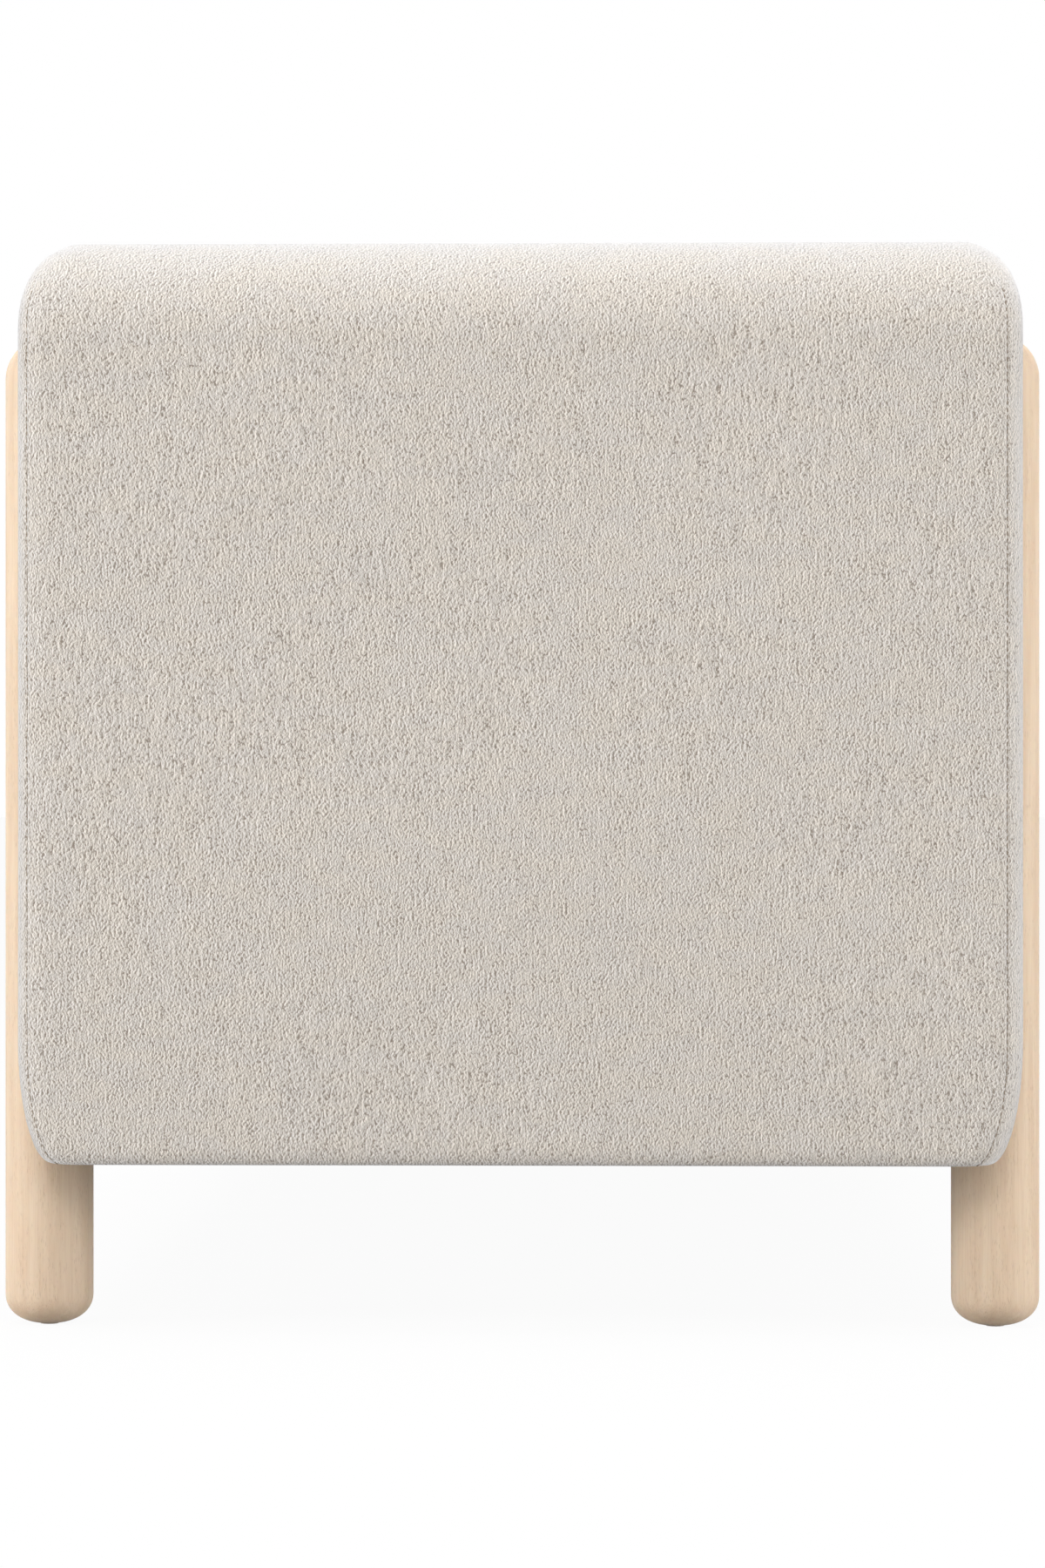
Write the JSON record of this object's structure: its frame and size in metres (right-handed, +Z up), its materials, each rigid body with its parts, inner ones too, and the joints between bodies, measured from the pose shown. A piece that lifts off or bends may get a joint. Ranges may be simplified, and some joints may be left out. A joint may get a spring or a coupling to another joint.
{
  "type": "sofa",
  "caption": "Sofa with thick padded roll-top arms set on round wooden corner posts, an upholstered back, and loose seat and back cushions.",
  "frame": {"origin": "on the floor, under the middle of the sofa", "axes": "+X runs along the sofa to the right as seen from the front, -Y is the front, +Z is up"},
  "size_m": [1.9, 0.8, 0.836],
  "materials": {
    "boucle": "matte",
    "beech": "matte",
    "frame_pine": "matte",
    "foam": "matte",
    "webbing": "matte",
    "cambric": "matte",
    "steel": "satin",
    "glide_nylon": "matte"
  },
  "bodies": {
    "sofa_frame": {"arm_bottom_rail_left": "frame_pine", "arm_bottom_rail_right": "frame_pine", "arm_cover_left": "boucle", "arm_cover_right": "boucle", "arm_front_bolt_left": "steel", "arm_front_bolt_right": "steel", "arm_front_stile_left": "frame_pine", "arm_front_stile_right": "frame_pine", "arm_padding_left": "foam", "arm_padding_right": "foam", "arm_rear_bolt_left": "steel", "arm_rear_bolt_right": "steel", "arm_rear_stile_left": "frame_pine", "arm_rear_stile_right": "frame_pine", "arm_top_rail_left": "frame_pine", "arm_top_rail_right": "frame_pine", "back_bolt_left": "steel", "back_bolt_right": "steel", "back_bottom_rail": "frame_pine", "back_cover": "boucle", "back_padding": "foam", "back_stile_left": "frame_pine", "back_stile_right": "frame_pine", "back_top_rail": "frame_pine", "deck_cover": "boucle", "deck_pad": "foam", "dust_cover": "cambric", "front_glide_left": "glide_nylon", "front_glide_right": "glide_nylon", "front_post_left": "beech", "front_post_lower_bolt_left": "steel", "front_post_lower_bolt_right": "steel", "front_post_right": "beech", "front_post_upper_bolt_left": "steel", "front_post_upper_bolt_right": "steel", "rear_glide_left": "glide_nylon", "rear_glide_right": "glide_nylon", "rear_post_left": "beech", "rear_post_lower_bolt_left": "steel", "rear_post_lower_bolt_right": "steel", "rear_post_right": "beech", "rear_post_upper_bolt_left": "steel", "rear_post_upper_bolt_right": "steel", "seat_centre_rail": "frame_pine", "seat_front_rail": "frame_pine", "seat_rear_rail": "frame_pine", "seat_side_rail_left": "frame_pine", "seat_side_rail_right": "frame_pine", "seat_webbing_left": "webbing", "seat_webbing_right": "webbing"},
    "seat_cushion_left": {"seat_cushion_cover_left": "boucle", "seat_cushion_core_left": "foam"},
    "zip_slider_left": {"seat_zip_slider_left": "steel"},
    "back_cushion_left": {"back_cushion_cover_left": "boucle", "back_cushion_core_left": "foam"},
    "seat_cushion_right": {"seat_cushion_cover_right": "boucle", "seat_cushion_core_right": "foam"},
    "zip_slider_right": {"seat_zip_slider_right": "steel"},
    "back_cushion_right": {"back_cushion_cover_right": "boucle", "back_cushion_core_right": "foam"}
  },
  "joints": [
    {"name": "seat_cushion_left_lift", "type": "slide", "parent": "sofa_frame", "child": "seat_cushion_left", "axis": [0, 0, 1], "range_m": [0, 0.3]},
    {"name": "back_cushion_left_lift", "type": "slide", "parent": "seat_cushion_left", "child": "back_cushion_left", "axis": [0, 0, 1], "range_m": [0, 0.4]},
    {"name": "zip_slider_left_pull", "type": "slide", "parent": "seat_cushion_left", "child": "zip_slider_left", "axis": [1, 0, 0], "range_m": [0, 0.54]},
    {"name": "seat_cushion_right_lift", "type": "slide", "parent": "sofa_frame", "child": "seat_cushion_right", "axis": [0, 0, 1], "range_m": [0, 0.3]},
    {"name": "back_cushion_right_lift", "type": "slide", "parent": "seat_cushion_right", "child": "back_cushion_right", "axis": [0, 0, 1], "range_m": [0, 0.4]},
    {"name": "zip_slider_right_pull", "type": "slide", "parent": "seat_cushion_right", "child": "zip_slider_right", "axis": [-1, 0, 0], "range_m": [0, 0.54]}
  ]
}
